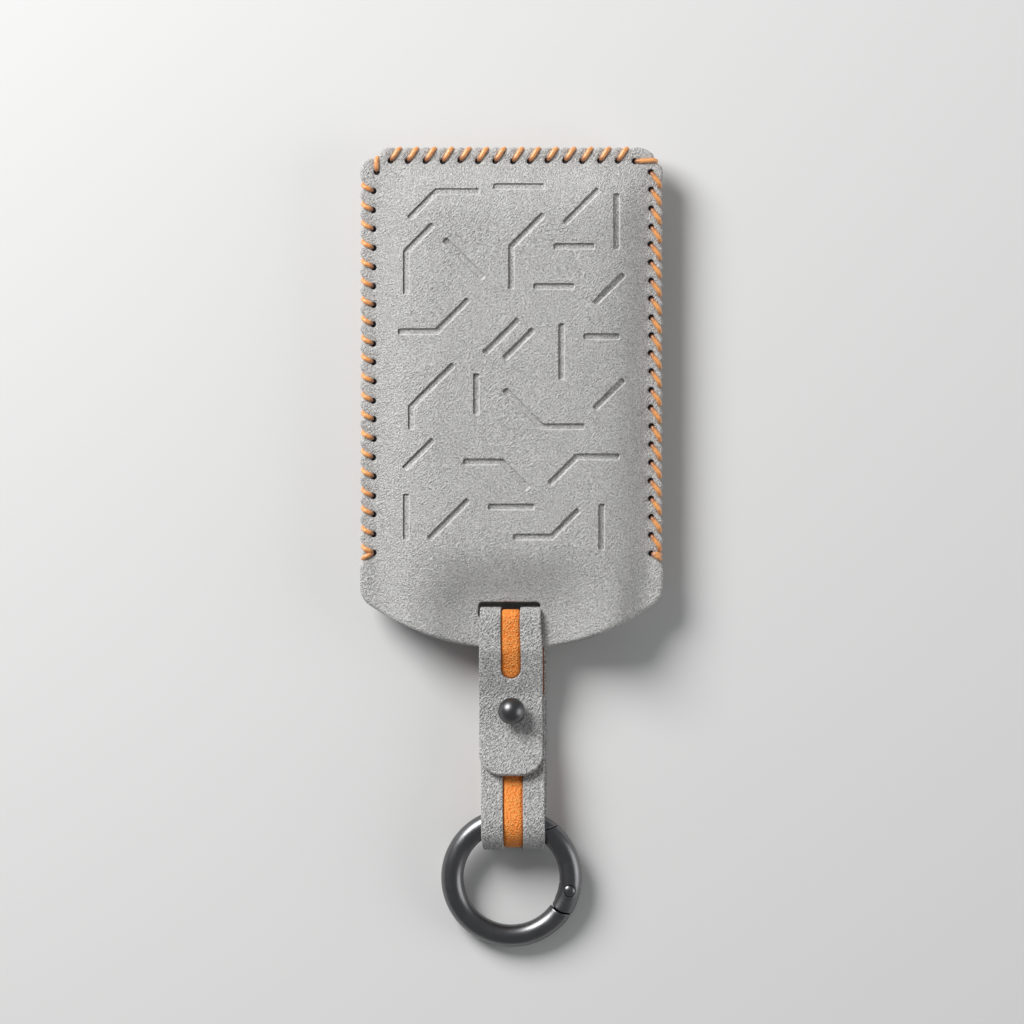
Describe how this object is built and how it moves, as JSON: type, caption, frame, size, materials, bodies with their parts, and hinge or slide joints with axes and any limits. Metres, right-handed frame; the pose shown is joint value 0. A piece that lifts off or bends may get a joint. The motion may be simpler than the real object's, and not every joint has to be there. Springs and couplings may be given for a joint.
{
  "type": "key fob cover",
  "caption": "Domed suede key fob cover with orange whip stitched edges, a wrap-through strap closed by a ball stud, and a round spring gate ring.",
  "frame": {"origin": "middle of the flat back face of the case, on the plane that it rests on", "axes": "+Y from the ring towards the closed end of the case, +Z out of the front, +X to the right seen from the front"},
  "size_m": [0.062, 0.1612, 0.0136],
  "materials": {
    "case_suede": "short nap suede, light warm grey",
    "case_lining": "thin dark microfibre",
    "thread": "round waxed orange thread",
    "strap_suede": "short nap suede, mid grey",
    "strap_leather": "fine grained orange leather",
    "stud_metal": "polished gunmetal",
    "ring_metal": "satin gunmetal",
    "bare_steel": "bright steel"
  },
  "bodies": {
    "case": {"front_panel": "case_suede", "back_panel": "case_suede", "front_lining": "case_lining", "back_lining": "case_lining", "edge_stitching": "thread"},
    "strap": {"strap_outer": "strap_suede", "strap_liner": "strap_leather", "ball_stud": "stud_metal", "stud_screw": "stud_metal"},
    "ring": {"ring_body": "ring_metal"},
    "gate": {"ring_gate": "ring_metal", "gate_pin": "ring_metal", "gate_spring": "bare_steel"},
    "plunger": {"gate_plunger": "bare_steel"}
  },
  "joints": [
    {"name": "strap_swing", "type": "hinge", "parent": "case", "child": "strap", "pos_m": [0, -0.0515, 0.0065], "axis": [1, 0, 0], "range_deg": [-75, 75], "deforming": ["strap_outer", "strap_liner"]},
    {"name": "ring_swing", "type": "hinge", "parent": "strap", "child": "ring", "pos_m": [0, -0.0857, 0.00535], "axis": [1, 0, 0], "range_deg": [-80, 80]},
    {"name": "gate_swing", "type": "hinge", "parent": "ring", "child": "gate", "pos_m": [0.01159, -0.09861, 0.00355], "axis": [0, -0.1382, 0.9904], "range_deg": [0, 15], "stiffness_Nm_per_rad": 0.01, "springref_deg": -17.19, "deforming": ["strap_outer", "strap_liner"]},
    {"name": "plunger_slide", "type": "slide", "parent": "gate", "child": "plunger", "axis": [-0.1063, 0.9848, 0.1374], "range_m": [0, 0.0003], "deforming": ["gate_spring"]}
  ],
  "couplings": [
    {"joint": "plunger_slide", "follows": "gate_swing", "m_per_rad": 0.00105}
  ]
}
